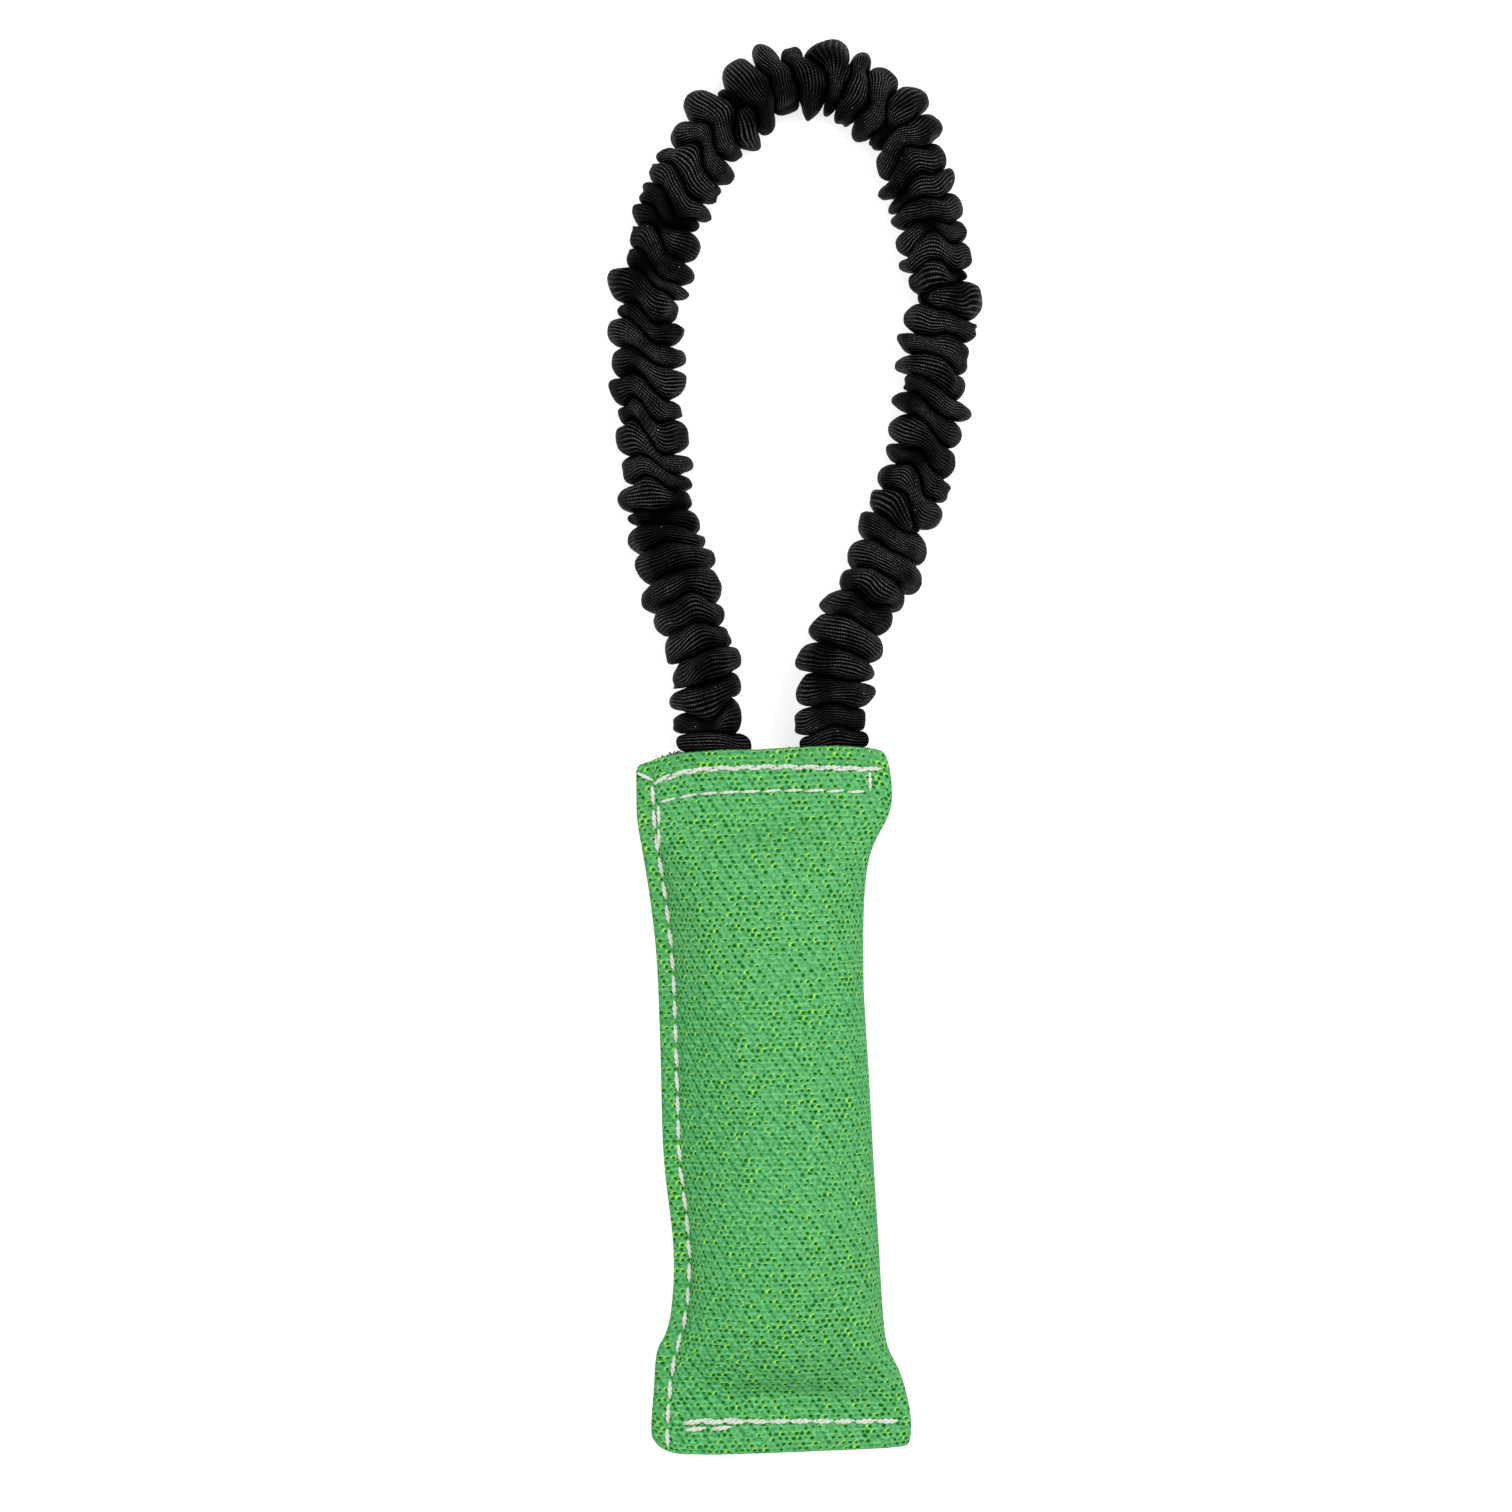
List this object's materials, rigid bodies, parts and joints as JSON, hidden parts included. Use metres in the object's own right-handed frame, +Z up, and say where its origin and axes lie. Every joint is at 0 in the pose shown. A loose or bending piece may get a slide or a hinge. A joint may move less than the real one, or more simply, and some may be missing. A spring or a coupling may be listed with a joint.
{
  "type": "bungee tug toy",
  "caption": "Stuffed cloth bite pad, sewn flat at three edges, with a stretchy cord loop in a gathered webbing sleeve sewn into its mouth as a handle.",
  "frame": {"origin": "centre of the pad's flat resting patch, on the surface that the toy lies on, under the pad's long axis", "axes": "+Y from the pad to the loop along the pad's long axis, +X from the side seam to the folded edge, +Z up from the surface"},
  "size_m": [0.1065, 0.4014, 0.0336],
  "materials": {
    "pad_cloth": "woven nylon and cotton cloth, steep twill, slight metallic glint between the wales",
    "filling": "loose fibre filling",
    "sleeve_webbing": "black woven tubular webbing, gathered in ruffles",
    "elastic_cord": "elastic strands in a braided jacket",
    "thread": "thick off-white sewing thread"
  },
  "bodies": {
    "pad": {"cover": "pad_cloth", "filling": "filling", "sleeve_left_tail": "sleeve_webbing", "sleeve_right_tail": "sleeve_webbing", "core_left_tail": "elastic_cord", "core_right_tail": "elastic_cord", "side_seam_thread_front": "thread", "side_seam_thread_back": "thread", "end_seam_thread_front": "thread", "end_seam_thread_back": "thread", "mouth_seam_thread_front": "thread", "mouth_seam_thread_back": "thread"},
    "loop_base": {"sleeve_left_base": "sleeve_webbing", "sleeve_right_base": "sleeve_webbing", "core_left_base": "elastic_cord", "core_right_base": "elastic_cord"},
    "loop_legs": {"sleeve_left_leg": "sleeve_webbing", "sleeve_right_leg": "sleeve_webbing", "core_left_leg": "elastic_cord", "core_right_leg": "elastic_cord"},
    "grip": {"sleeve_grip": "sleeve_webbing", "core_grip": "elastic_cord"}
  },
  "joints": [
    {"name": "handle_fold", "type": "hinge", "parent": "pad", "child": "loop_base", "pos_m": [0.0027, 0.116, 0.01654], "axis": [1, 0, 0], "range_deg": [-115, 115], "deforming": ["sleeve_left_tail", "sleeve_right_tail", "core_left_tail", "core_right_tail"]},
    {"name": "handle_sway", "type": "hinge", "parent": "loop_base", "child": "loop_legs", "pos_m": [0.0027, 0.14, 0.01434], "axis": [0, 0, 1], "range_deg": [-25, 25], "deforming": ["sleeve_left_base", "sleeve_right_base", "core_left_base", "core_right_base"]},
    {"name": "bungee_stretch", "type": "slide", "parent": "loop_legs", "child": "grip", "axis": [0, 1, 0], "range_m": [0, 0.1], "stiffness_N_per_m": 800, "deforming": ["sleeve_left_leg", "sleeve_right_leg", "core_left_leg", "core_right_leg"]}
  ]
}
